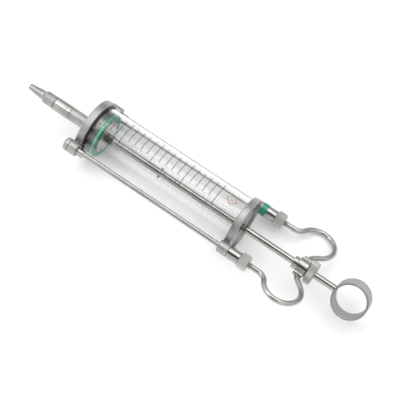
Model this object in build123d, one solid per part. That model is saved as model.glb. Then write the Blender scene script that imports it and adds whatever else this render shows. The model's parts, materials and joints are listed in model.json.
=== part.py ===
"""Three-ring irrigation syringe of glass and metal, 100 ml, lying on a table.

Millimetres. The syringe is built along X: the nozzle points to -X, the thumb ring to +X, and X = 0 is the
front face of the front cap. The finger hooks lie in the XY plane. At the end the whole syringe is rolled about
its own axis until the hook on the +Y side touches the table, lifted, and centred over the origin.
"""

import math
import os

from build123d import *

# ---- driving dimensions ----------------------------------------------------------------------------------

# Fits
RUNNING = 0.05                # radial clearance of a shaft that slides or turns in its hole
SEATED = 0.02                 # radial or axial clearance of pieces that are fixed together

# Barrel: 100 ml over 102.8 mm of a 35.2 mm bore
bore_r = 17.6
barrel_wall = 2.0
barrel_length = 123.0

# Caps and gaskets
cap_rim = 1.66                # cap's wall outside the gasket
cap_bevel = 0.5
front_cap_face = 2.4
front_cap_depth = 5.6
rear_cap_depth = 5.1
rear_lip_depth = 1.5
rear_lip_inset = 0.8          # how far the rear lip reaches inwards past the cover's edge
gasket_wall = 1.2
gasket_lip = 1.0
gasket_proud = 0.8            # how far the black front gasket stands out behind the cap
cover_thickness = 1.6
cover_hole_gap = 0.75         # cover's hole to the ends of the rod's cross pin

# Tie rods, lugs, sleeves and lock nuts
tie_standoff = 5.5            # tie rod's centre line outside the caps
tie_r = 1.75
front_boss_r = 4.8
front_boss_setback = 0.4      # lug's front face behind the cap's front face
front_boss_overhang = 1.6     # lug's rear face behind the cap's rear rim
rear_boss_r = 4.45
rear_boss_overhang = 2.6
lug_neck_margin = 0.5         # lug's neck is this much narrower than its cap on each side
head_length = 3.7
shoulder_r = 2.3
shoulder_length = 5.8
sleeve_r = 4.45
sleeve_length = 9.4
tie_thread_depth = 4.4        # how far the tie rod reaches into its sleeve
nut_flats = 10.2
nut_length = 6.8
nut_bevel = 0.9
band_wall = 0.35
band_length = 4.5

# Finger hooks
wire_r = 1.93
thread_over_wire = 0.22       # thread's crests stand out this far from the wire
thread_pitch = 0.7
thread_depth = 0.28
thread_exposed = 2.6
loop_r = 13.3
loop_behind_nut = 27.5        # loop centre behind the lock nut's rear face
s_bend_r = 8.0
loop_exit_deg = 46.0
hook_end_margin = 0.58        # hook's centre line ends this far outside the side lug's
exit_bend_r = 9.0
exit_bend_deg = 38.0

# Nozzle
neck_r = 4.78
neck_length = 21.7
channel_r = 1.5
socket_r = 5.07
socket_length = 9.65
spigot_r = 3.0
spigot_length = 7.0
seam_washer = 0.5
hub_r = 4.72
hub_length = 8.45
hub_shoulder = 1.5
cone_base_r = 3.57
cone_tip_r = 2.24
cone_length = 12.9
outlet_r = 1.1

# Piston
piston_gap = 0.3              # piston face to front cap at the end of the stroke
piston_body_length = 8.4
piston_clearance = 0.35
piston_hub_r = 5.0
seal_thickness = 2.2
backing_inset = 5.2           # backing disc's edge to the bore
backing_thickness = 0.8
piston_nut_wall = 0.9
piston_nut_length = 4.2
collar_wall = 0.7
collar_thickness = 0.9

# Plunger rod and thumb ring
rod_r = 2.5
rod_depth_in_piston = 5.4
pin_r = 0.9
pin_length = 8.0
pin_from_piston = 57.4        # pin centre behind the piston's front face
ring_outer_r = 13.2
ring_wall = 1.6
ring_width = 14.5
ring_bevel = 0.45
ring_gap = 16.6               # ring's front edge behind the knurled nut
ring_turn_deg = 65.5          # the ring's axis is turned this far from +Z towards -Y

# Rod guide between the hooks
guide_r = 6.3
guide_length = 7.6
guide_collar_r = 4.6
guide_collar_length = 3.8
guide_bore_depth = 6.2        # bore for the packing, from the guide's rear face
gland_bore_r = 4.2
side_lug_r = 2.1
side_lug_length = 6.6
packing_length = 2.4
packing_ring_r = 4.1
follower_thickness = 0.8
nut_gap = 0.7                 # gap between the guide and the knurled disc
knurl_r = 8.6
knurl_length = 5.0
knurl_count = 44
knurl_depth = 0.35
knurl_bevel = 0.6

# ---- places worked out from them -------------------------------------------------------------------------

barrel_r = bore_r + barrel_wall
cap_socket_r = barrel_r + gasket_wall + 2 * SEATED
cap_r = cap_socket_r + cap_rim
tie_y = cap_r + tie_standoff
thread_r = wire_r + thread_over_wire
cover_hole_r = pin_length / 2 + cover_hole_gap
backing_r = bore_r - backing_inset
piston_nut_r = rod_r + piston_nut_wall
collar_r = rod_r + collar_wall
x_barrel = front_cap_face + gasket_lip
x_barrel_end = x_barrel + barrel_length
x_cover = x_barrel_end + gasket_lip
x_rear_lip = x_cover + cover_thickness
x_rear_cap_end = x_rear_lip + rear_lip_depth
x_rear_cap = x_rear_cap_end - rear_cap_depth

x_front_boss_end = front_cap_depth + front_boss_overhang
x_sleeve = x_rear_cap_end + rear_boss_overhang
x_lock_nut = x_sleeve + sleeve_length
x_hook = x_lock_nut + nut_length
x_tie_end = x_sleeve + tie_thread_depth

x_piston = front_cap_face + piston_gap
x_seal = x_piston + piston_body_length
x_backing = x_seal + seal_thickness
x_piston_nut = x_backing + backing_thickness
x_collar = x_piston_nut + piston_nut_length
x_pin = x_piston + pin_from_piston

x_loop = x_hook + loop_behind_nut
s_bend_run = math.sqrt((s_bend_r + loop_r) ** 2 - s_bend_r ** 2)
exit_angle = math.radians(loop_exit_deg)
exit_heading = math.radians(270.0 - loop_exit_deg)
end_heading = exit_heading + math.radians(exit_bend_deg)
x_loop_exit = x_loop + loop_r * math.cos(exit_angle)
y_loop_exit = tie_y - loop_r * math.sin(exit_angle)
side_lug_y = guide_r + side_lug_r
y_hook_end = side_lug_y + hook_end_margin
y_exit_bend = y_hook_end + exit_bend_r * (math.cos(end_heading) - math.cos(exit_heading))
exit_straight = (y_exit_bend - y_loop_exit) / math.sin(exit_heading)
x_exit_bend = x_loop_exit + exit_straight * math.cos(exit_heading)
x_hook_end = x_exit_bend + exit_bend_r * (math.sin(end_heading) - math.sin(exit_heading))

x_guide = x_hook_end - guide_length / 2 - 0.1
x_guide_end = x_guide + guide_length
x_knurl = x_guide_end + nut_gap
x_knurl_end = x_knurl + knurl_length
x_ring = x_knurl_end + ring_gap + ring_outer_r

x_socket = -neck_length
x_seam = x_socket - socket_length
x_hub = x_seam - seam_washer
x_cone = x_hub - hub_length - hub_shoulder
x_tip = x_cone - cone_length

# Roll that brings the +Y hook down onto the table that both caps stand on
hook_reach = tie_y + loop_r
roll_deg = math.degrees(math.asin((cap_r - wire_r) / hook_reach))
x_middle = (x_tip + x_ring + ring_outer_r) / 2


# ---- helpers ---------------------------------------------------------------------------------------------

def rod(x0, x1, radius, y=0.0):
    """Solid round bar along X from x0 to x1, its centre line at y."""
    bar = Cylinder(radius, x1 - x0, align=(Align.CENTER, Align.CENTER, Align.MIN))
    return Pos(x0, y, 0) * Rot(0, 90, 0) * bar


def lathe(profile, y=0.0):
    """Solid of revolution about the X axis, from (x, radius) corners, moved out to y."""
    face = make_face(Polyline(*profile, close=True))
    return Pos(0, y, 0) * revolve(face, Axis.X)


def bevelled(x0, x1, radius, hole, bevel, y=0.0):
    """Ring or disc along X with its outer corners bevelled."""
    outer = lathe([(x0, 0), (x0, radius - bevel), (x0 + bevel, radius), (x1 - bevel, radius),
                   (x1, radius - bevel), (x1, 0)], y)
    return outer - rod(x0 - 1, x1 + 1, hole, y) if hole else outer


def rounded_bar(x0, x1, radius, rounding):
    """Round bar along X whose front edge is rounded and whose rear edge is sharp."""
    bar = rod(x0, x1, radius)
    return fillet(bar.edges().group_by(Axis.X)[0], rounding)


def both_sides(solid):
    """The solid and its mirror image on the other side of the XZ plane."""
    return solid, mirror(solid, about=Plane.XZ)


def threaded(x0, x1, radius):
    """Round bar whose surface carries rings of a thread's pitch and depth."""
    turns = round((x1 - x0) / thread_pitch)
    step = (x1 - x0) / turns
    corners = [(x0, 0)]
    for turn in range(turns):
        corners.append((x0 + turn * step, radius - thread_depth))
        corners.append((x0 + (turn + 0.5) * step, radius))
    corners.append((x1, radius - thread_depth))
    corners.append((x1, 0))
    return lathe(corners)


# ---- nozzle ----------------------------------------------------------------------------------------------

def nozzle_tip():
    """Cone, grooved hub and the spigot that screws into the socket."""
    x_shoulder = x_hub - hub_length
    corners = [(x_tip, 0), (x_tip, cone_tip_r - 0.3), (x_tip + 0.3, cone_tip_r), (x_cone, cone_base_r),
               (x_shoulder, hub_r - 0.25), (x_shoulder + 0.25, hub_r)]
    groove_count = 6
    groove = 0.3
    pitch = (hub_length - 1.2) / groove_count
    for index in range(groove_count):
        x_groove = x_shoulder + 0.9 + index * pitch
        corners += [(x_groove, hub_r), (x_groove + groove, hub_r - 0.2), (x_groove + 2 * groove, hub_r)]
    corners += [(x_hub, hub_r), (x_hub, spigot_r), (x_hub + spigot_length, spigot_r),
                (x_hub + spigot_length, 0)]
    return lathe(corners) - rod(x_tip - 1, x_hub + spigot_length + 1, outlet_r)


def nozzle_washer():
    """Thin sealing washer in the seam between hub and socket."""
    return rod(x_hub + SEATED, x_seam - SEATED, hub_r - 0.25) - rod(x_hub - 1, x_seam + 1, spigot_r + RUNNING)


def nozzle_socket():
    """Sleeve on the end of the neck, with the bore that takes the nozzle's spigot."""
    body = bevelled(x_seam, x_socket + 4.0, socket_r, 0, 0.3)
    spigot_room = rod(x_seam - 1, x_hub + spigot_length + 0.6, spigot_r + RUNNING)
    neck_room = rod(x_socket, x_socket + 5.0, neck_r - 0.8 + SEATED)
    channel = rod(x_seam - 1, x_socket + 1, channel_r)
    return body - spigot_room - neck_room - channel


# ---- caps, gaskets and barrel ----------------------------------------------------------------------------

def lug(x0, x1, radius, x_cap, cap_depth):
    """Boss for a tie rod at +Y, joined to its cap by a short round neck."""
    boss = bevelled(x0, x1, radius, 0, 0.4, tie_y)
    root = cap_r - gasket_wall
    neck = Pos(x_cap + cap_depth / 2, root, 0) * Rot(-90, 0, 0) * Cylinder(
        cap_depth / 2 - lug_neck_margin, tie_y - root, align=(Align.CENTER, Align.CENTER, Align.MIN))
    return boss + neck


def front_cap():
    """Cup that takes the front of the barrel, with the neck in front and a lug on either side."""
    cup = bevelled(0, front_cap_depth, cap_r, 0, cap_bevel)
    neck = lathe([(x_socket, 0), (x_socket, neck_r - 0.8), (x_socket + 4.0, neck_r - 0.8),
                  (x_socket + 4.0, neck_r), (-1.2, neck_r), (0, neck_r + 1.2), (0.5, neck_r + 1.2), (0.5, 0)])
    cap = cup + neck
    for side in both_sides(lug(front_boss_setback, x_front_boss_end, front_boss_r, 0, front_cap_depth)):
        cap += side
    cap -= rod(front_cap_face, front_cap_depth + 5, cap_socket_r)
    cap -= lathe([(x_socket - 1, 0), (x_socket - 1, channel_r), (0.6, channel_r),
                  (front_cap_face + 0.01, 3 * channel_r), (front_cap_face + 0.01, 0)])
    for y in (-tie_y, tie_y):
        cap -= rod(front_boss_setback - 1, x_front_boss_end + 1, tie_r + SEATED, y)
    return cap


def gasket(x_lip, x_end, step):
    """Rubber ring with a lip under the barrel's end; step is the direction from the lip to the open end."""
    inner = barrel_r + SEATED
    outer = cap_socket_r - SEATED
    hole = bore_r + 0.3
    lip_end = x_lip + step * (gasket_lip - SEATED)
    bevel = 0.3
    return lathe([(x_lip, hole), (x_lip, outer), (x_end - step * bevel, outer), (x_end, outer - bevel),
                  (x_end, inner), (lip_end, inner), (lip_end, hole)])


def front_gasket():
    """Black ring that seals the front end and shows behind the front cap."""
    return gasket(front_cap_face + SEATED, front_cap_depth + gasket_proud, 1)


def rear_gasket():
    """The same ring for the rear end, flush with the rear cap's front face."""
    return gasket(x_cover - SEATED, x_rear_cap + 0.1, -1)


def glass_barrel():
    """Plain glass tube with ground ends."""
    bevel = 0.35
    return lathe([(x_barrel, bore_r + bevel), (x_barrel, barrel_r - bevel), (x_barrel + bevel, barrel_r),
                  (x_barrel_end - bevel, barrel_r), (x_barrel_end, barrel_r - bevel),
                  (x_barrel_end, bore_r + bevel), (x_barrel_end - bevel, bore_r), (x_barrel + bevel, bore_r)])


def rear_cover():
    """Disc that closes the rear end, with a hole for the rod and its cross pin."""
    rim_r = cap_socket_r - SEATED
    disc = bevelled(x_cover + SEATED, x_rear_lip - SEATED, rim_r, cover_hole_r, 0.1)
    return disc - (rod(x_rear_lip - 0.4, x_rear_lip + 1, cover_hole_r + 1.6) - rod(
        x_rear_lip - 0.5, x_rear_lip + 2, cover_hole_r + 1.0))


def rear_cap():
    """Ring that draws the cover onto the barrel by its rear lip, with a lug on either side."""
    cap = bevelled(x_rear_cap, x_rear_cap_end, cap_r, 0, cap_bevel)
    for side in both_sides(lug(x_rear_cap, x_sleeve, rear_boss_r, x_rear_cap, rear_cap_depth)):
        cap += side
    cap -= rod(x_rear_cap - 5, x_rear_lip, cap_socket_r)
    cap -= rod(x_rear_lip - 1, x_rear_cap_end + 5, cap_socket_r - rear_lip_inset)
    for y in (-tie_y, tie_y):
        cap -= rod(x_rear_cap - 1, x_sleeve + 1, tie_r + SEATED, y)
    return cap


# ---- tie rods and what is on them ------------------------------------------------------------------------

def tie_rod():
    """Long rod at +Y with a domed head in front of the front lug and a shoulder behind it."""
    x_head = front_boss_setback - head_length
    head = rounded_bar(x_head, front_boss_setback - SEATED, front_boss_r, 1.9)
    shank = rod(x_head + 1, x_tie_end, tie_r)
    shoulder_start = x_front_boss_end + SEATED
    shoulder = lathe([(shoulder_start, 0), (shoulder_start, shoulder_r),
                      (shoulder_start + shoulder_length - 0.8, shoulder_r),
                      (shoulder_start + shoulder_length, tie_r), (shoulder_start + shoulder_length, 0)])
    return Pos(0, tie_y, 0) * (head + shank + shoulder)


def coupling_sleeve():
    """Long round nut that joins the tie rod to the finger hook's threaded end."""
    body = bevelled(x_sleeve + SEATED, x_lock_nut - SEATED, sleeve_r, 0, 0.35, tie_y)
    tie_room = rod(x_sleeve - 1, x_tie_end + 0.3, tie_r + SEATED, tie_y)
    hook_room = rod(x_tie_end + 0.3, x_lock_nut + 1, thread_r + SEATED, tie_y)
    return body - tie_room - hook_room


def lock_nut():
    """Hexagon nut, bevelled on both faces, that locks the hook in the sleeve."""
    corner_r = nut_flats / 2 / math.cos(math.pi / 6)
    prism = extrude(Plane.YZ.offset(x_lock_nut) * RegularPolygon(corner_r, 6), nut_length)
    outline = lathe([(x_lock_nut, 0), (x_lock_nut, corner_r - nut_bevel), (x_lock_nut + nut_bevel, corner_r + 0.1),
                     (x_hook - nut_bevel, corner_r + 0.1), (x_hook, corner_r - nut_bevel), (x_hook, 0)])
    hexagon = (prism & outline) - rod(x_lock_nut - 1, x_hook + 1, thread_r + SEATED)
    return Pos(0, tie_y, 0) * hexagon


def green_band():
    """Coloured band over the joint of lug and sleeve on the +Y side."""
    x_band = x_sleeve - band_length * 0.6
    inner = max(rear_boss_r, sleeve_r) + SEATED
    return rod(x_band, x_band + band_length, inner + band_wall, tie_y) - rod(
        x_band - 1, x_band + band_length + 1, inner, tie_y)


def side_lug_bar():
    """Short round bar along X, beside the guide at +Y, that the hook's end is brazed to."""
    x_bar = x_guide + (guide_length - side_lug_length) / 2
    return rod(x_bar, x_bar + side_lug_length, side_lug_r, side_lug_y)


def finger_hook():
    """Bent wire at +Y: thread, straight, S-bend, loop, and the run in to the guide's side lug."""
    x_s_bend = x_loop - s_bend_run
    x_thread_end = x_hook + thread_exposed
    thread_start = x_tie_end + 0.5
    s_angle = math.degrees(math.asin(s_bend_run / (s_bend_r + loop_r)))
    loop_start = 90.0 + s_angle
    path = Line((x_thread_end, tie_y), (x_s_bend, tie_y))
    path += CenterArc((x_s_bend, tie_y + s_bend_r), s_bend_r, 270.0, s_angle)
    path += CenterArc((x_loop, tie_y), loop_r, loop_start, -(loop_start + loop_exit_deg))
    path += Line((x_loop_exit, y_loop_exit), (x_exit_bend, y_exit_bend))
    bend_centre = (x_exit_bend - exit_bend_r * math.sin(exit_heading),
                   y_exit_bend + exit_bend_r * math.cos(exit_heading))
    path += CenterArc(bend_centre, exit_bend_r, math.degrees(exit_heading) - 90.0, exit_bend_deg)
    start = Plane(origin=(x_thread_end, tie_y, 0), z_dir=(1, 0, 0))
    wire = sweep(start * Circle(wire_r), path=path)
    smooth_thread = rod(thread_start, x_hook, thread_r, tie_y)
    open_thread = Pos(0, tie_y, 0) * threaded(x_hook, x_thread_end, thread_r)
    coping = side_lug_bar()
    coping_room = Pos(coping.center().X, side_lug_y, 0) * Rot(0, 90, 0) * Cylinder(
        side_lug_r + SEATED, side_lug_length + 8)
    return smooth_thread + open_thread + (wire - coping_room)


# ---- rod guide -------------------------------------------------------------------------------------------

def rod_guide():
    """Stepped block that guides the rod, with a side lug for each hook and a bore for the packing."""
    collar = rounded_bar(x_guide - guide_collar_length, x_guide + 1, guide_collar_r, 0.5)
    block = collar + bevelled(x_guide, x_guide_end, guide_r, 0, 0.35)
    bar = side_lug_bar()
    web = Pos(bar.center().X, guide_r, 0) * Box(side_lug_length, 2 * side_lug_r, 1.6 * side_lug_r)
    for side in both_sides(bar + web):
        block += side
    block -= rod(x_guide - guide_collar_length - 1, x_guide_end + 1, rod_r + RUNNING)
    return block - rod(x_guide_end - guide_bore_depth, x_guide_end + 1, gland_bore_r)


def rod_packing():
    """Soft packing ring round the rod."""
    x_packing = x_guide_end - guide_bore_depth + SEATED
    return rod(x_packing, x_packing + packing_length, packing_ring_r) - rod(
        x_packing - 1, x_packing + packing_length + 1, rod_r + RUNNING)


def gland_follower():
    """Loose brass ring that the knurled nut presses on the packing."""
    x_follower = x_guide_end - guide_bore_depth + packing_length + 2 * SEATED
    return rod(x_follower, x_follower + follower_thickness, gland_bore_r - RUNNING) - rod(
        x_follower - 1, x_follower + follower_thickness + 1, rod_r + 2 * RUNNING)


def knurled_nut():
    """Knurled disc with the spigot that screws into the guide."""
    disc = bevelled(x_knurl, x_knurl_end, knurl_r, 0, knurl_bevel)
    teeth = []
    for index in range(2 * knurl_count):
        radius = knurl_r - knurl_depth * (index % 2)
        angle = math.pi * index / knurl_count
        teeth.append((radius * math.cos(angle), radius * math.sin(angle)))
    outline = Plane.YZ.offset(x_knurl) * make_face(Polyline(*teeth, close=True))
    disc = disc & extrude(outline, knurl_length)
    x_spigot = x_guide_end - guide_bore_depth + packing_length + follower_thickness + 3 * SEATED
    spigot = rod(x_spigot, x_knurl + 0.5, gland_bore_r - RUNNING)
    return disc + spigot - rod(x_spigot - 1, x_knurl_end + 1, rod_r + 2 * RUNNING)


# ---- piston and plunger ----------------------------------------------------------------------------------

def piston_body():
    """Metal piston with a hub that the seal sits on and a blind bore for the rod."""
    radius = bore_r - piston_clearance
    corners = [(x_piston, 0), (x_piston, radius - 0.6), (x_piston + 0.6, radius), (x_seal - 0.2, radius),
               (x_seal, radius - 0.2), (x_seal, piston_hub_r), (x_backing, piston_hub_r), (x_backing, 0)]
    x_rod_end = x_backing - rod_depth_in_piston
    return lathe(corners) - rod(x_rod_end, x_backing + 1, rod_r + SEATED)


def piston_seal():
    """Green sealing ring with a flared lip that runs on the bore."""
    inner = piston_hub_r + RUNNING
    outer = bore_r - RUNNING
    front = x_seal + RUNNING
    back = x_backing - RUNNING
    return lathe([(front, inner), (front, outer - 0.5), (front + 0.5, outer), (back, outer),
                  (back - 0.9, outer - 1.3), (back, backing_r + 1.6), (back, inner)])


def piston_backing_disc():
    """Thin metal disc that holds the seal against the piston."""
    return bevelled(x_backing, x_piston_nut - SEATED, backing_r, rod_r + SEATED, 0.2)


def piston_nut():
    """Round nut with two flats that clamps the backing disc."""
    nut = bevelled(x_piston_nut, x_collar - SEATED, piston_nut_r, rod_r + SEATED, 0.25)
    flats = Box(piston_nut_length + 2, 2 * piston_nut_r - 0.5, 3 * piston_nut_r)
    return nut & (Pos((x_piston_nut + x_collar) / 2, 0, 0) * flats)


def rod_collar():
    """Small ring on the rod behind the piston nut."""
    return bevelled(x_collar, x_collar + collar_thickness, collar_r, rod_r + SEATED, 0.2)


def turned_with_ring(solid):
    """Turn a solid built about +Z so that its axis lies along the thumb ring's axis."""
    return Rot(ring_turn_deg, 0, 0) * solid


def plunger_rod():
    """Round rod from the piston to the thumb ring, with a cross hole for the pin."""
    x_rod_end = x_backing - rod_depth_in_piston + SEATED
    bar = rod(x_rod_end, x_ring - ring_outer_r + 1.5, rod_r)
    ring_room = Pos(x_ring, 0, 0) * turned_with_ring(Cylinder(ring_outer_r + SEATED, 2 * ring_width))
    hole = Pos(x_pin, 0, 0) * turned_with_ring(Rot(90, 0, 0) * Cylinder(pin_r + SEATED, 4 * rod_r))
    return bar - ring_room - hole


def rod_pin():
    """Cross pin through the rod, square to the thumb ring's axis."""
    pin = chamfer(Cylinder(pin_r, pin_length).edges(), 0.2)
    return Pos(x_pin, 0, 0) * turned_with_ring(Rot(90, 0, 0) * pin)


def thumb_ring():
    """Wide round band for the thumb."""
    inner_r = ring_outer_r - ring_wall
    band = Cylinder(ring_outer_r, ring_width) - Cylinder(inner_r, ring_width + 2)
    band = chamfer(band.edges().filter_by(GeomType.CIRCLE), ring_bevel)
    return Pos(x_ring, 0, 0) * turned_with_ring(band)


# ---- all nodes -------------------------------------------------------------------------------------------

def all_nodes():
    """Every separate piece of the syringe, in its own frame along X."""
    nodes = {
        "nozzle_tip": nozzle_tip(),
        "nozzle_washer": nozzle_washer(),
        "nozzle_socket": nozzle_socket(),
        "front_cap": front_cap(),
        "front_gasket": front_gasket(),
        "glass_barrel": glass_barrel(),
        "rear_gasket": rear_gasket(),
        "rear_cover": rear_cover(),
        "rear_cap": rear_cap(),
        "green_band": green_band(),
        "rod_guide": rod_guide(),
        "rod_packing": rod_packing(),
        "gland_follower": gland_follower(),
        "knurled_nut": knurled_nut(),
        "piston_body": piston_body(),
        "piston_seal": piston_seal(),
        "piston_backing_disc": piston_backing_disc(),
        "piston_nut": piston_nut(),
        "rod_collar": rod_collar(),
        "plunger_rod": plunger_rod(),
        "rod_pin": rod_pin(),
        "thumb_ring": thumb_ring(),
    }
    for name, builder in (("tie_rod", tie_rod), ("coupling_sleeve", coupling_sleeve),
                          ("lock_nut", lock_nut), ("finger_hook", finger_hook)):
        low_side, high_side = both_sides(builder())
        nodes[name + "_low"] = low_side
        nodes[name + "_high"] = high_side
    return nodes


def main():
    """Roll the syringe onto its hook, centre it over the origin and write one file per piece."""
    os.makedirs("parts", exist_ok=True)
    placing = Pos(-x_middle, 0, cap_r) * Rot(-roll_deg, 0, 0)
    for name, solid in all_nodes().items():
        export_step(placing * solid, f"parts/{name}.step")
    print(f"axis height {cap_r:.2f}, roll {roll_deg:.3f} deg, X shift {-x_middle:.3f}")


main()
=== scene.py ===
# %% [markdown]
# # A three-ring syringe of glass and metal: its finishes, scale, light and camera
#
# The shapes come ready from a CAD model, one Blender object for each real piece. What is left is what the
# eye reads as steel, glass, rubber and ink. Lengths are in metres. The syringe lies along X, with the
# nozzle at the low end and the thumb ring at the high end, and it rests on its two caps and on one finger
# hook.

# %% Load the pieces
import json
import math

import bpy
import numpy as np
from mathutils import Matrix, Vector


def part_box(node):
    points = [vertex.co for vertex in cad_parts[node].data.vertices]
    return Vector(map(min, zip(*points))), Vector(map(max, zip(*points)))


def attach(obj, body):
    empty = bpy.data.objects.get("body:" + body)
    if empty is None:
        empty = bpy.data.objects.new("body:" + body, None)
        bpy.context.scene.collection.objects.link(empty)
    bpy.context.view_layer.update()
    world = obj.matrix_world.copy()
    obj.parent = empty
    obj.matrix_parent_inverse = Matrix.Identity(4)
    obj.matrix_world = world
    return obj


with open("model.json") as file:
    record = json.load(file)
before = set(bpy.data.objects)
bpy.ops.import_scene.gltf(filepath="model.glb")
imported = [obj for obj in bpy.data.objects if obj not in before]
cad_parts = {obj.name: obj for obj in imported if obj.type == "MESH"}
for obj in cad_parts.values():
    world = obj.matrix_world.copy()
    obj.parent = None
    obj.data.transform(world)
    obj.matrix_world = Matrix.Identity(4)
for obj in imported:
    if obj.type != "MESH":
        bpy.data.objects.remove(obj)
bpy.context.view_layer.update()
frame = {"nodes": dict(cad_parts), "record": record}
nodes = frame["nodes"]

# %% [markdown]
# ## Where things are
#
# A turned piece is made round an axis, and its tool marks run round the same axis, so every finish needs to
# know it. The boxes of the CAD pieces give it: the barrel's middle is on the main axis, and the two tie
# rods lie on either side of it. From them come three directions that turn with the syringe: along it,
# across it to the tie rod that lies low, and square to both.

# %% Axes read from the pieces
MM = 0.001


def middle(name):
    """Centre of a piece's box."""
    low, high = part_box(name)
    return (low + high) / 2


axis_at = middle("glass_barrel")
across = middle("tie_rod_low") - axis_at
across.x = 0.0
across.normalize()
upward = Vector((1, 0, 0)).cross(across)
barrel_low, barrel_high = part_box("glass_barrel")
barrel_radius = (barrel_high.z - barrel_low.z) / 2
lean = math.degrees(math.atan2(-across.z, across.y))
print("axis height", round(axis_at.z, 5), "barrel radius", round(barrel_radius, 5), "lean", round(lean, 2))

# %% [markdown]
# ## Writing shader maths as Python
#
# A material is a graph of nodes. Wiring dozens of Math nodes by hand hides the formula that they stand for,
# so a small class wraps a node's output and overloads the arithmetic operators: `a * b + c` or `mask - 0.2`
# then adds the nodes by itself. Everything that isn't arithmetic comes from one method, which takes the
# kind of node, its settings, and what goes into its sockets.

# %% Signals and finishes
class Signal:
    """A node's output that can stand in an expression. Each operator adds one Math node."""

    def __init__(self, finish, socket):
        self.finish = finish
        self.socket = socket

    def maths(self, operation, *inputs):
        """One Math node with this operation on the inputs, in order."""
        return self.finish.node("ShaderNodeMath", {"operation": operation}, dict(enumerate(inputs)))

    def __add__(self, other):
        return self.maths("ADD", self, other)

    __radd__ = __add__

    def __sub__(self, other):
        return self.maths("SUBTRACT", self, other)

    def __mul__(self, other):
        return self.maths("MULTIPLY", self, other)

    __rmul__ = __mul__

    def __truediv__(self, other):
        return self.maths("DIVIDE", self, other)

    def root(self):
        """Square root."""
        return self.maths("SQRT", self)

    def above(self, start, end):
        """0 up to start, 1 from end on, and a smooth rise between them."""
        settings = {"interpolation_type": "SMOOTHSTEP", "clamp": True}
        sockets = {"Value": self, "From Min": start, "From Max": end}
        return self.finish.node("ShaderNodeMapRange", settings, sockets)


class Finish:
    """A material in the making."""

    def __init__(self, name):
        self.material = bpy.data.materials.new(name)
        self.material.use_nodes = True
        self.tree = self.material.node_tree
        self.tree.nodes.clear()

    def node(self, kind, settings=None, sockets=None, output=0):
        """Adds a node of this kind, with its settings first and then its socket values or links."""
        made = self.tree.nodes.new(kind)
        for name, value in (settings or {}).items():
            if name == "stops":
                self.place_stops(made.color_ramp, value)
            else:
                setattr(made, name, value)
        for name, value in (sockets or {}).items():
            if isinstance(value, Signal):
                self.tree.links.new(value.socket, made.inputs[name])
            else:
                made.inputs[name].default_value = value
        return Signal(self, made.outputs[output] if made.outputs else None)

    @staticmethod
    def place_stops(ramp, stops):
        """Gives a colour ramp these (place, colour) stops."""
        while len(ramp.elements) < len(stops):
            ramp.elements.new(0.5)
        for element, (place, colour) in zip(ramp.elements, stops):
            element.position = place
            element.color = colour

    def mix(self, factor, first, second):
        """Colour between first and second."""
        return self.node("ShaderNodeMix", {"data_type": "RGBA"}, {0: factor, 6: first, 7: second}, output=2)

    def noise(self, vector, scale, detail=3.0, roughness=0.55):
        """Cloudy noise from 0 to 1 over these coordinates."""
        sockets = {"Vector": vector, "Scale": scale, "Detail": detail, "Roughness": roughness}
        return self.node("ShaderNodeTexNoise", None, sockets)

    def place(self, centre=(0, 0, 0), turn=(0, 0, 0), scale=(1, 1, 1)):
        """Object coordinates measured from centre, turned and stretched by a Mapping node."""
        coordinates = self.node("ShaderNodeTexCoord", None, None, output=3)
        to_centre = {"Vector": coordinates, "Location": [-c for c in centre]}
        centred = self.node("ShaderNodeMapping", None, to_centre)
        return self.node("ShaderNodeMapping", None, {"Vector": centred, "Rotation": turn, "Scale": scale})

    def split(self, vector):
        """The three numbers of a vector."""
        parts = self.node("ShaderNodeSeparateXYZ", None, {0: vector})
        return [Signal(self, socket) for socket in parts.socket.node.outputs]

    def join(self, x, y, z):
        """A vector of three numbers."""
        return self.node("ShaderNodeCombineXYZ", None, {0: x, 1: y, 2: z})

    def bump(self, height, distance, strength=1.0):
        """A surface direction that follows a height, in metres when distance is 1."""
        sockets = {"Height": height, "Distance": distance, "Strength": strength}
        return self.node("ShaderNodeBump", None, sockets)

    def surface(self, **sockets):
        """Ends the material in a Principled shader with these sockets, underscores standing for spaces."""
        values = {name.replace("_", " "): value for name, value in sockets.items()}
        shader = self.node("ShaderNodeBsdfPrincipled", None, values)
        self.node("ShaderNodeOutputMaterial", None, {"Surface": shader})
        return self.material


print("signals and finishes ready")

# %% [markdown]
# ## Tones of steel
#
# A metal's Base Color is the share of light that it mirrors. Polished steel gives back about half, a satin
# surface looks lighter and flatter, and handling dulls both. So every finish runs between a dull tone and a
# clean one, and the pairs stand here, together with the radii at which two kinds of nut are rubbed bright.

# %% Tones of steel
STEEL = (0.47, 0.46, 0.444, 1.0)
STEEL_WORN = (0.6, 0.59, 0.575, 1.0)
STEEL_DULL = (0.34, 0.33, 0.316, 1.0)
SATIN = (0.48, 0.474, 0.464, 1.0)
SATIN_DULL = (0.3, 0.296, 0.29, 1.0)
RING_SATIN = (0.43, 0.422, 0.41, 1.0)
RING_DULL = (0.25, 0.245, 0.238, 1.0)
CLEAN = (STEEL_DULL, STEEL)
MATT = (SATIN_DULL, SATIN)
RUBBED = (STEEL, STEEL_WORN)
KNURL_EDGE = 8.6 * MM
NUT_EDGE = 5.9 * MM
print("steel from", STEEL_DULL[0], "to", STEEL_WORN[0])

# %% [markdown]
# ## Turned steel
#
# The caps, the nozzle, the sleeves and the nuts are turned on a lathe. The tool leaves fine rings: on a
# cylinder they follow each other along the axis, and on a flat face they are circles round it. A noise that
# is read at (place along the axis, distance from the axis) and hardly changes with the angle gives both at
# once. On top of it come what use adds: cloudy smudges that dull the shine, a few short handling scratches,
# and edges rubbed bright.

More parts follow.
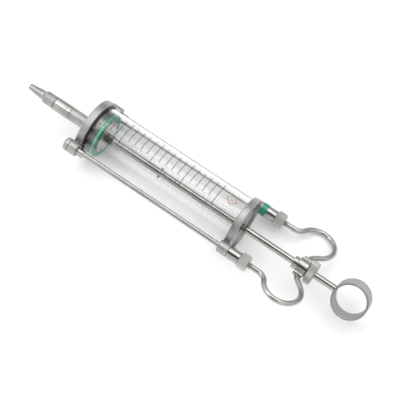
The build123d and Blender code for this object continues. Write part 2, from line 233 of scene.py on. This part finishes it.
# %% The turned finish
def turned_steel(name, centre, turn=(0, 0, 0), shine=0.24, pitch=0.45 * MM, rub=None, tones=CLEAN):
    """Steel turned round the X axis of coordinates that start at centre.

    Rings: noise at (x / pitch, r / pitch, 0.35 angle). Roughness: shine plus smudges and rings. rub is a
    pair (radius, width): the colour rises as the distance from the axis nears that radius. tones are the dull
    and the clean colour.
    """
    finish = Finish(name)
    place = finish.place(centre, turn)
    x, y, z = finish.split(place)
    radius = (y * y + z * z).root()
    angle = y.maths("ARCTAN2", z, y)
    rings = finish.noise(finish.join(x / pitch, radius / pitch, angle * 0.35), 1.0, 4.0, 0.7)
    smudge = finish.noise(place, 95.0, 4.0, 0.6)
    grain = finish.noise(finish.join(x * 700, y * 2600, z * 2600), 1.0, 2.0)
    slant = finish.place(centre, (0.4, 0.7, 0.3), (260, 2400, 900))
    scratch = finish.noise(slant, 1.0, 1.0).above(0.66, 0.72)
    tone = finish.mix((smudge * 0.75 + rings * 0.5 - 0.2).above(0.15, 0.75), *tones)
    if rub:
        worn = radius.above(rub[0] - rub[1], rub[0]) * 0.65
        tone = finish.mix(worn, tone, STEEL_WORN)
    tone = finish.mix(scratch * 0.25, tone, STEEL_WORN)
    roughness = smudge * 0.16 + rings * 0.1 + (shine - 0.13)
    height = rings * 0.4 + grain * 0.12 - scratch * 0.3
    return finish.surface(Base_Color=tone, Metallic=1.0, Roughness=roughness,
                          Normal=finish.bump(height, 0.02 * MM, 0.8))


def dress(material, *names):
    """Gives CAD pieces this material, in every slot that they have."""
    for name in names:
        for slot in nodes[name].material_slots:
            slot.material = material
    print(material.name, "on", ", ".join(names))


print("turned finish ready")

# %% [markdown]
# ## Dressing the turned pieces
#
# Pieces on the main axis can share a finish where their shine is the same. The sleeves and the nuts are
# turned round the tie rods' axes, so each gets a finish of its own, centred on its own box. The knurl and
# the nuts' corners are what fingers and spanners touch, and they alone are rubbed.

# %% Turned pieces
cap_steel = turned_steel("turned_cap_steel", axis_at, shine=0.42, pitch=1.2 * MM, tones=MATT)
dress(cap_steel, "front_cap", "rear_cap")
dress(turned_steel("turned_cover_steel", axis_at, shine=0.26), "rear_cover")
dress(turned_steel("satin_nozzle_steel", axis_at, shine=0.4, pitch=0.9 * MM, tones=MATT), "nozzle_tip")
dress(turned_steel("turned_socket_steel", axis_at, shine=0.22), "nozzle_socket")
dress(turned_steel("turned_guide_steel", axis_at, shine=0.22), "rod_guide")
knurl_steel = turned_steel("knurled_steel", axis_at, shine=0.5, rub=(KNURL_EDGE, 0.35 * MM), tones=MATT)
dress(knurl_steel, "knurled_nut")
for side in ("low", "high"):
    centre = middle("coupling_sleeve_" + side)
    dress(turned_steel("turned_sleeve_steel_" + side, centre, shine=0.17), "coupling_sleeve_" + side)
    nut_steel = turned_steel("nut_steel_" + side, centre, shine=0.5, rub=(NUT_EDGE, 0.5 * MM), tones=RUBBED)
    dress(nut_steel, "lock_nut_" + side)

# %% [markdown]
# ## Drawn and polished bar
#
# Rods and wire are pulled through a die, which leaves fine lines along them, and are then polished. The
# noise is stretched along X a hundred times, so that it varies round the bar and hardly along it. The bent
# hooks would need lines that bend with them, and after bending they were polished by hand, so they get an
# even fine grain and soft smudges instead. The tie rods' heads are turned, and stay satin.

# %% The drawn and the hand-polished finish
HEAD_LENGTH = 3.8 * MM
HEAD_DULLNESS = 0.24


def drawn_steel(name, centre, shine=0.16, head_end=-1.0):
    """Steel with lines along X: noise at (60 x, 4200 y, 4200 z) gives the lines, a wider one the smudges.

    Up to x = head_end the bar is a turned head, which is left satin.
    """
    finish = Finish(name)
    lines = finish.noise(finish.place(centre, scale=(60, 4200, 4200)), 1.0, 3.0, 0.6)
    smudge = finish.noise(finish.place(centre, scale=(80, 150, 150)), 1.0, 4.0, 0.6)
    bar = finish.split(finish.place(centre))[0].above(head_end, head_end + 0.2 * MM)
    tone = finish.mix((smudge * 0.7 + lines * 0.5).above(0.3, 0.85), STEEL_DULL, STEEL)
    roughness = smudge * 0.14 + lines * 0.08 - bar * HEAD_DULLNESS + (shine - 0.1 + HEAD_DULLNESS)
    return finish.surface(Base_Color=tone, Metallic=1.0, Roughness=roughness,
                          Normal=finish.bump(lines * 0.5 + smudge * 0.3, 0.015 * MM, 0.7))


def hand_polished_steel(name, centre):
    """Steel with an even fine grain, shallow waves from bending and soft smudges."""
    finish = Finish(name)
    grain = finish.noise(finish.place(centre), 2600.0, 2.0)
    wave = finish.noise(finish.place(centre), 240.0, 2.0)
    smudge = finish.noise(finish.place(centre), 120.0, 4.0, 0.6)
    tone = finish.mix((smudge + grain * 0.35 - 0.15).above(0.2, 0.75), STEEL_DULL, STEEL)
    roughness = smudge * 0.18 + grain * 0.05 + 0.09
    return finish.surface(Base_Color=tone, Metallic=1.0, Roughness=roughness,
                          Normal=finish.bump(grain * 0.1 + wave, 0.05 * MM, 0.6))


dress(drawn_steel("drawn_rod_steel", axis_at), "plunger_rod", "rod_pin")
for side in ("low", "high"):
    rod_at = middle("tie_rod_" + side)
    head_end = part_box("tie_rod_" + side)[0].x + HEAD_LENGTH - rod_at.x
    dress(drawn_steel("drawn_tie_steel_" + side, rod_at, 0.18, head_end), "tie_rod_" + side)
    hook_steel = hand_polished_steel("polished_hook_steel_" + side, middle("finger_hook_" + side))
    dress(hook_steel, "finger_hook_" + side)

# %% [markdown]
# ## The thumb ring
#
# The ring is a short piece of wide tube, brushed round and round with an abrasive belt. It is turned away
# from the syringe's axis, so the coordinates are turned too until the ring's own axis is their X axis, and
# the turned finish does the rest with a coarser pitch.

# %% Brushed ring
ring_at = middle("thumb_ring")
ring_axis = Vector(next(m["axis"] for m in frame["record"]["mounts"] if m["name"] == "thumb_ring"))
ring_turn = ring_axis.rotation_difference(Vector((1, 0, 0))).to_euler()
ring_tones = (RING_DULL, RING_SATIN)
ring_steel = turned_steel("brushed_ring_steel", ring_at, tuple(ring_turn), 0.42, 1.6 * MM, tones=ring_tones)
dress(ring_steel, "thumb_ring")

# %% [markdown]
# ## The piston
#
# The piston's metal, and the nut and collar behind it, are darker than the rest, with dark green clouds.
# The pale disc between them holds a green silicone seal, which is soft and a little glossy. Its lip is
# lighter: a painted highlight.

# %% Piston, disc and seal
PISTON_DARK = (0.21, 0.2, 0.2, 1.0)
PISTON_DARK_GREEN = (0.05, 0.085, 0.068, 1.0)
DISC_PALE = (0.66, 0.6, 0.585, 1.0)
DISC_DULL = (0.5, 0.455, 0.445, 1.0)
SEAL_DEEP = (0.015, 0.15, 0.085, 1.0)
SEAL_PALE_HIGHLIGHT = (0.12, 0.45, 0.29, 1.0)
WALL = 2 * MM


def dark_turned_steel(name, centre):
    """Turned metal whose colour drifts between two dark tones along the axis and in clouds."""
    finish = Finish(name)
    place = finish.place(centre)
    x, y, z = finish.split(place)
    bands = finish.noise(finish.join(x * 900, (y * y + z * z).root() * 900, 0.0), 1.0, 2.0)
    cloud = finish.noise(place, 160.0, 3.0)
    # Darker than the other steel, with dark green clouds.
    tone = finish.mix((bands * 0.6 + cloud * 0.6).above(0.35, 0.8), PISTON_DARK_GREEN, PISTON_DARK)
    return finish.surface(Base_Color=tone, Metallic=1.0, Roughness=cloud * 0.2 + 0.24,
                          Normal=finish.bump(bands, 0.03 * MM, 0.7))


def silicone(name, centre, deep, pale, lip):
    """Rubber whose colour goes from deep to pale towards the lip's radius, a painted highlight, with cloudy
    wipe marks.
    """
    finish = Finish(name)
    place = finish.place(centre)
    _, y, z = finish.split(place)
    radius = (y * y + z * z).root()
    cloud = finish.noise(place, 260.0, 3.0)
    # The rise towards the lip is a painted highlight; the cloud is the rubber's own uneven tone.
    shade = (radius.above(lip - 2.5 * MM, lip) * 0.7 + cloud * 0.5).above(0.1, 1.1)
    return finish.surface(Base_Color=finish.mix(shade, deep, pale), Roughness=cloud * 0.25 + 0.2,
                          Normal=finish.bump(cloud, 0.04 * MM, 0.6))


dress(dark_turned_steel("dark_piston_metal", axis_at), "piston_body", "piston_nut", "rod_collar")
dress(turned_steel("disc_steel", axis_at, shine=0.36, tones=(DISC_DULL, DISC_PALE)), "piston_backing_disc")
dress(silicone("green_silicone", axis_at, SEAL_DEEP, SEAL_PALE_HIGHLIGHT, barrel_radius - WALL), "piston_seal")

# %% [markdown]
# ## Rubber, packing, brass and the coloured band
#
# The gaskets are black rubber: dark, matt and slightly bloomed, which is a pale dust in patches. The
# packing round the rod is white and fibrous, the ring that presses on it is brass, and the band on one lug
# joint is glossy green enamel that mirrors the lights in a clear coat.

# %% Small finishes
def black_rubber(name, centre):
    """Near-black with a patchy bloom and a fine grain."""
    finish = Finish(name)
    bloom = finish.noise(finish.place(centre), 300.0, 3.0).above(0.45, 0.8)
    grain = finish.noise(finish.place(centre), 3000.0, 1.0)
    tone = finish.mix(bloom * 0.5, (0.012, 0.012, 0.013, 1), (0.05, 0.05, 0.05, 1))
    return finish.surface(Base_Color=tone, Roughness=bloom * 0.2 + 0.42,
                          Normal=finish.bump(grain, 0.03 * MM, 0.5))


def fibrous_packing(name, centre):
    """Off-white with strands that run round the rod: noise stretched round the axis."""
    finish = Finish(name)
    x, y, z = finish.split(finish.place(centre))
    radius = (y * y + z * z).root()
    strand = finish.noise(finish.join(x * 3000, radius * 3000, z.maths("ARCTAN2", z, y) * 3), 1.0, 2.0)
    tone = finish.mix(strand, (0.66, 0.64, 0.58, 1), (0.9, 0.89, 0.86, 1))
    return finish.surface(Base_Color=tone, Roughness=strand * 0.2 + 0.7, Normal=finish.bump(strand, 0.1 * MM))


def turned_brass(name, centre):
    """Brass with turning rings and brown tarnish in clouds."""
    finish = Finish(name)
    place = finish.place(centre)
    x, y, z = finish.split(place)
    rings = finish.noise(finish.join(x * 2500, (y * y + z * z).root() * 2500, 0.0), 1.0, 2.0)
    tarnish = finish.noise(place, 400.0, 3.0).above(0.4, 0.8)
    tone = finish.mix(tarnish, (0.78, 0.58, 0.27, 1), (0.42, 0.28, 0.12, 1))
    return finish.surface(Base_Color=tone, Metallic=1.0, Roughness=tarnish * 0.25 + rings * 0.1 + 0.2,
                          Normal=finish.bump(rings, 0.02 * MM, 0.6))


def green_enamel(name, centre):
    """Glossy teal with a slight orange-peel surface and a darker tone where the coat is thick."""
    finish = Finish(name)
    peel = finish.noise(finish.place(centre), 900.0, 2.0)
    cloud = finish.noise(finish.place(centre), 350.0, 2.0)
    tone = finish.mix(cloud, (0.0, 0.17, 0.115, 1), (0.01, 0.3, 0.2, 1))
    return finish.surface(Base_Color=tone, Roughness=cloud * 0.1 + 0.16, Coat_Weight=0.6, Coat_Roughness=0.06,
                          Normal=finish.bump(peel, 0.05 * MM, 0.6))


dress(black_rubber("black_gasket_rubber", axis_at), "front_gasket", "rear_gasket", "nozzle_washer")
dress(fibrous_packing("white_rod_packing", axis_at), "rod_packing")
dress(turned_brass("tarnished_brass", axis_at), "gland_follower")
dress(green_enamel("green_band_enamel", middle("green_band")), "green_band")

# %% [markdown]
# ## The glass barrel
#
# Clear glass has almost no colour of its own. What shows is how its 2 mm wall bends what is behind it: the
# tube's edges gather light from far to the side and read as thin darker lines. A Principled shader with
# full transmission and glass's own index does this, as long as the wall is a real one with an inner
# surface. Drawn tube isn't perfect, so faint lengthwise waves and a trace of wiping go into the bump and
# the roughness. Lamps can't shine through refracting glass in a path tracer except by luck, so the tube is
# told to cast no shadow. Its colour is a light grey rather than clear. That grey is painted shade: it darkens
# what shows through the tube, in place of the missing shadow.

# %% Clear glass
def glass_with_painted_shade(name, centre):
    """Glass with faint draw lines along X, a few wiped patches that scatter a little, and a light grey tone
    that is painted shade.
    """
    finish = Finish(name)
    draw = finish.noise(finish.place(centre, scale=(6, 120, 120)), 1.0, 2.0)
    wipe = finish.noise(finish.place(centre, scale=(60, 160, 160)), 1.0, 3.0).above(0.55, 0.85)
    # The grey tone is painted shade, in place of the shadow that the tube doesn't cast.
    tone = finish.mix(draw, (0.87, 0.88, 0.875, 1), (0.895, 0.902, 0.899, 1))
    return finish.surface(Base_Color=tone, Transmission_Weight=1.0, IOR=1.48, Roughness=wipe * 0.03,
                          Normal=finish.bump(draw, 0.02 * MM, 0.3))


dress(glass_with_painted_shade("drawn_glass_painted_shade", axis_at), "glass_barrel")
nodes["glass_barrel"].visible_shadow = False

# %% [markdown]
# ## The scale on the glass
#
# The scale is screen-printed in dark ink: twenty divisions, every fifth one longer. A printed stroke is a
# very thin raised bar that follows the glass. One function makes all the strokes at once: it takes arrays
# of start and end points on the unrolled glass, measured along the tube and as an angle round it, and rolls
# them up.

# %% Strokes of ink
INK_LIFT = 0.012 * MM
INK_THICKNESS = 0.02 * MM


def new_piece(name, points, faces):
    """An object of these points and faces, linked to the scene."""
    mesh = bpy.data.meshes.new(name)
    mesh.from_pydata(points, [], faces)
    mesh.update()
    piece = bpy.data.objects.new(name, mesh)
    bpy.context.scene.collection.objects.link(piece)
    return piece


def ink_strokes(name, starts, ends, width, samples=24):
    """Thin bars on the glass, as one mesh.

    A stroke's middle line goes straight from start to end on the unrolled glass, whose coordinates are
    length along the tube and angle times radius. Its four edges are half a width to either side, at two
    radii. A point (x, angle, r) goes to axis + x along + r cos(angle) across + r sin(angle) upward.
    """
    starts, ends = np.atleast_2d(starts), np.atleast_2d(ends)
    t = np.linspace(0, 1, samples)[None, :, None]
    line = starts[:, None] * (1 - t) + ends[:, None] * t
    unrolled = (ends - starts) * np.array([1.0, barrel_radius])
    heading = unrolled / np.linalg.norm(unrolled, axis=1, keepdims=True)
    sideways = np.stack([-heading[:, 1], heading[:, 0] / barrel_radius], axis=1) * (width / 2)
    sides = np.array([1, -1, -1, 1])[None, None, :, None]
    flat = line[:, :, None] + sides * sideways[:, None, None]
    radius = barrel_radius + INK_LIFT + INK_THICKNESS * np.array([0, 0, 1, 1])[None, None]
    angle = flat[..., 1]
    points = (np.array(axis_at)[None, None, None] + flat[..., :1] * np.array([1.0, 0, 0])
              + (radius * np.cos(angle))[..., None] * np.array(across)
              + (radius * np.sin(angle))[..., None] * np.array(upward))
    count = len(starts)
    index = np.arange(count * samples * 4).reshape(count, samples, 4)
    turned = np.roll(index, -1, 2)
    along = np.stack([index[:, :-1], turned[:, :-1], turned[:, 1:], index[:, 1:]], -1)
    faces = np.concatenate([along.reshape(-1, 4), index[:, 0, ::-1], index[:, -1]])
    piece = new_piece(name, points.reshape(-1, 3), faces.tolist())
    print(name, count, "strokes,", len(faces), "faces")
    return piece


print("ink stands", round((INK_LIFT + INK_THICKNESS) / MM, 3), "mm off the glass")

# %% [markdown]
# ## Where the lines stand
#
# Every division holds the same volume, so the lines stand at even steps along the tube, and a long line
# only reaches further round it. One array of line numbers gives all places at once, which is shorter and
# safer than a loop that adds a step each time.

# %% Where the lines go
LONG_LINE = (math.radians(71.0), math.radians(135.5))
SHORT_LINE = (math.radians(79.0), math.radians(121.0))
SCALE_START = barrel_low.x - axis_at.x - 1.3 * MM
DIVISION = 5.16 * MM
LINE_WIDTH = 0.44 * MM
number = np.arange(2, 21)
is_long = number % 5 == 0
line_x = SCALE_START + DIVISION * number
first_angle = np.where(is_long, LONG_LINE[0], SHORT_LINE[0])
last_angle = np.where(is_long, LONG_LINE[1], SHORT_LINE[1])
line_starts = np.stack([line_x, first_angle], 1)
line_ends = np.stack([line_x, last_angle], 1)
scale_marks = ink_strokes("scale_marks", line_starts, line_ends, LINE_WIDTH)
print("line spacing", DIVISION, "from", round(line_x[0], 4), "to", round(line_x[-1], 4))

# %% [markdown]
# ## A small printed sign
#
# Near the rear cap there is a small orange-brown sign. A plain lozenge with a short bar in it stands there:
# four strokes and one more, on the same unrolled glass.

# %% The lozenge
SIGN_PLACE = 113.2 * MM
SIGN_ANGLE = math.radians(102.7)
SIGN_LENGTH = 4.1 * MM
SIGN_WIDTH = 3.8 * MM
SIGN_LINE = 0.45 * MM
sign_at = np.array([SCALE_START + SIGN_PLACE, SIGN_ANGLE])
sign_half = np.array([SIGN_LENGTH, SIGN_WIDTH / barrel_radius])
corners = np.array([[1, 0], [0, 1], [-1, 0], [0, -1]]) * sign_half + sign_at
bar = np.array([[-0.3, 0], [0.3, 0]]) * sign_half + sign_at
stroke_starts = np.vstack([corners, bar[:1]])
stroke_ends = np.vstack([np.roll(corners, -1, 0), bar[1:]])
sign = ink_strokes("printed_sign", stroke_starts, stroke_ends, SIGN_LINE, 8)

# %% [markdown]
# ## Ink
#
# Fired ink is matt and slightly uneven: it thins where the squeegee lifted. A fine noise moves its colour
# and its roughness.

# %% Ink finishes
def fired_ink(name, colour, thin):
    """Ink between its full colour and the colour where it is thin."""
    finish = Finish(name)
    thinning = finish.noise(finish.place(axis_at), 900.0, 3.0).above(0.45, 0.85)
    grain = finish.noise(finish.place(axis_at), 4000.0, 1.0)
    return finish.surface(Base_Color=finish.mix(thinning, colour, thin), Roughness=thinning * 0.2 + 0.45,
                          Normal=finish.bump(grain, 0.01 * MM, 0.5))


dark_ink = fired_ink("dark_scale_ink", (0.035, 0.03, 0.028, 1), (0.11, 0.1, 0.095, 1))
orange_ink = fired_ink("orange_sign_ink", (0.3, 0.1, 0.03, 1), (0.5, 0.24, 0.1, 1))
scale_marks.data.materials.append(dark_ink)
sign.data.materials.append(orange_ink)
for piece in (scale_marks, sign):
    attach(piece, "syringe_frame")
print("inks", dark_ink.name, "and", orange_ink.name)

# %% [markdown]
# ## The floor
#
# The syringe lies on plain paper, nearly white, a hair below its lowest point. A faint fibre in the tone
# and the bump keeps the paper from looking like a computed plane. The square is far wider than the view, so
# that no edge of it shows from above.

# %% Floor
QUARTERS = ((-1, -1), (1, -1), (1, 1), (-1, 1))


def plain_floor(name, half, height):
    """A flat square at this height, half a side each way."""
    corners = [(x * half, y * half, height) for x, y in QUARTERS]
    return new_piece(name, corners, [(0, 1, 2, 3)])


FLOOR_HALF = 4.0
FLOOR_HEIGHT = -0.05 * MM
floor = plain_floor("floor", FLOOR_HALF, FLOOR_HEIGHT)
paper = Finish("pale_paper")
fibre = paper.noise(paper.place(), 220.0, 3.0)
floor.data.materials.append(paper.surface(
    Base_Color=paper.mix(fibre, (0.95, 0.95, 0.95, 1), (0.97, 0.97, 0.97, 1)), Roughness=fibre * 0.1 + 0.8,
    Normal=paper.bump(fibre, 0.02 * MM, 0.4)))
print("floor at", floor.data.vertices[0].co.z)

# %% [markdown]
# ## The surroundings
#
# Polished metal shows its surroundings more than itself, so the studio matters as much as the finish. Here
# it is a white tent that falls off to grey at the far horizon, which outlines every rod on that side. The
# camera itself sees a pale backdrop there.

# %% Surroundings
world = bpy.data.worlds.new("studio")
bpy.context.scene.world = world
world.use_nodes = True
studio = Finish.__new__(Finish)
studio.tree = world.node_tree
studio.tree.nodes.clear()
toward = studio.split(studio.node("ShaderNodeTexCoord"))
shade = studio.node("ShaderNodeValToRGB", {"stops": [
    (0.0, (0.3, 0.3, 0.302, 1)), (0.2, (0.55, 0.55, 0.55, 1)), (0.45, (0.9, 0.9, 0.9, 1)),
    (1.0, (1.04, 1.04, 1.04, 1))]}, {0: toward[2] - toward[1] * 0.25 + 0.1})
seen_by_camera = studio.node("ShaderNodeLightPath")
reflected = studio.node("ShaderNodeBackground", None, {"Color": shade, "Strength": 1.13})
pale = studio.node("ShaderNodeBackground", None, {"Color": (0.93, 0.93, 0.93, 1), "Strength": 1.0})
both = studio.node("ShaderNodeMixShader", None, {0: seen_by_camera, 1: reflected, 2: pale})
studio.node("ShaderNodeOutputWorld", None, {"Surface": both})
print("surroundings set")

# %% [markdown]
# ## Lamps
#
# One wide softbox hangs above the far side and gives broad highlights, and soft shadows that fall towards
# the viewer. A narrow strip next to it draws the thin bright line along the glass, and a smaller softbox
# over the nozzle's side brightens the front end.

# %% Softboxes
def softbox(name, place, width, depth, power, aim=(0.0, 0.0, 0.02)):
    """A rectangular area lamp at place, turned to face aim."""
    lamp = bpy.data.lights.new(name, "AREA")
    lamp.shape = "RECTANGLE"
    lamp.size = width
    lamp.size_y = depth
    lamp.energy = power
    piece = bpy.data.objects.new(name, lamp)
    direction = Vector(aim) - Vector(place)
    piece.matrix_world = Matrix.Translation(place) @ direction.to_track_quat("-Z", "Y").to_matrix().to_4x4()
    piece.visible_camera = False
    bpy.context.scene.collection.objects.link(piece)
    print(name, "at", place, power, "W")


def aimed_from(angle, along, distance):
    """Point at this distance from the axis, at an angle from the low side round to the upper side."""
    outward = across * math.cos(angle) + upward * math.sin(angle)
    return axis_at + outward * distance + Vector((along, 0, 0))


softbox("softbox_far_side", aimed_from(math.radians(92), -0.05, 1.2), 0.9, 0.45, 2.2)
softbox("softbox_strip", aimed_from(math.radians(110.5), 0.0, 1.2), 1.3, 0.06, 0.9)
softbox("softbox_nozzle_side", aimed_from(math.radians(130), -0.62, 1.0), 0.4, 0.5, 1.9)

# %% [markdown]
# ## A dark screen round the lens
#
# Metal that faces the camera mirrors the camera and whoever stands behind it, and that draws a dark line
# along the middle of every polished rod. A dark screen near the lens does the same here. Only reflections
# and glass see it: it casts no shadow and the camera looks through it.

# %% Dark screen
def dark_screen(name, angle, along, distance, width, depth):
    """A flat sheet square to the line from the syringe's axis, width along the axis and depth round it."""
    centre = aimed_from(angle, along, distance)
    outward = (centre - axis_at).normalized()
    sideways = Vector((1, 0, 0)) * (width / 2)
    around = outward.cross(Vector((1, 0, 0))).normalized() * (depth / 2)
    corners = [tuple(centre + sideways * x + around * y) for x, y in QUARTERS]
    piece = new_piece(name, corners, [(0, 1, 2, 3)])
    piece.visible_camera = False
    piece.visible_shadow = False
    piece.visible_diffuse = False
    return piece


SCREEN_ANGLE = math.radians(147)
SCREEN_WIDTH, SCREEN_DEPTH = 0.64, 0.56
screen = dark_screen("dark_screen", SCREEN_ANGLE, 0.03, 0.8, SCREEN_WIDTH, SCREEN_DEPTH)
cloth = Finish("dark_cloth")
nap = cloth.noise(cloth.place(), 60.0, 2.0)
cloth_tone = cloth.mix(nap, (0.05, 0.05, 0.05, 1), (0.09, 0.09, 0.09, 1))
screen.data.materials.append(cloth.surface(Base_Color=cloth_tone, Roughness=nap * 0.1 + 0.85))
print("screen at", [round(v, 2) for v in screen.data.vertices[0].co])

# %% [markdown]
# ## The camera
#
# A long lens looks down steeply from the near side. Its place is given by three angles and a distance: the
# azimuth and elevation of the viewing direction, and a small roll that lifts the horizon.

# %% Camera
AZIMUTH, ELEVATION, ROLL = (math.radians(v) for v in (30.143, 69.641, 5.038))
TARGET = Vector((5.76, -0.81, 22.96)) * MM
DISTANCE = 816.5 * MM
camera_data = bpy.data.cameras.new("camera")
camera_data.lens = 106.0
camera_data.sensor_width = 36.0
camera = bpy.data.objects.new("camera", camera_data)
reach = math.cos(ELEVATION)
back = Vector((math.sin(AZIMUTH) * reach, -math.cos(AZIMUTH) * reach, math.sin(ELEVATION)))
level = Vector((math.cos(AZIMUTH), math.sin(AZIMUTH), 0.0))
right = level * math.cos(ROLL) + back.cross(level) * math.sin(ROLL)
aim = Matrix((right, back.cross(right), back)).transposed().to_4x4()
camera.matrix_world = Matrix.Translation(TARGET + back * DISTANCE) @ aim
bpy.context.scene.collection.objects.link(camera)
bpy.context.scene.camera = camera
bpy.context.scene.view_settings.view_transform = "Standard"
print("camera at", [round(v, 3) for v in camera.matrix_world.translation])
